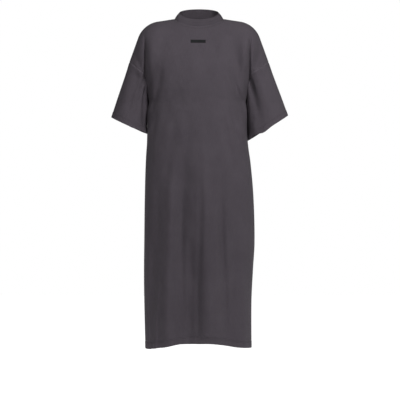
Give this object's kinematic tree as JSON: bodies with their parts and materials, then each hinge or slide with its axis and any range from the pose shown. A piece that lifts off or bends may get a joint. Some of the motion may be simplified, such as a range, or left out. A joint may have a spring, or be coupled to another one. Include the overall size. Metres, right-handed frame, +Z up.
{
  "type": "t-shirt dress",
  "caption": "Oversized mid-calf t-shirt dress in heavy charcoal jersey with a high collar band, dropped shoulders and wide elbow-length sleeves, hanging as worn.",
  "frame": {"origin": "midway between the two points where the shoulder seams meet the collar seam, where the wearer's shoulders carry the dress", "axes": "+Z up, the front faces -Y, +X towards the wearer's left"},
  "size_m": [0.635, 0.2825, 1.227],
  "materials": {
    "jersey": "matt, garment-dyed heavy cotton jersey",
    "rib": "matt cotton rib, folded double",
    "tab": "matt woven tab, nearly black"
  },
  "bodies": {
    "root": {"front_panel": "jersey", "back_panel": "jersey", "sleeve_left": "jersey", "sleeve_right": "jersey", "collar_band": "rib", "chest_tab": "tab"}
  },
  "joints": []
}
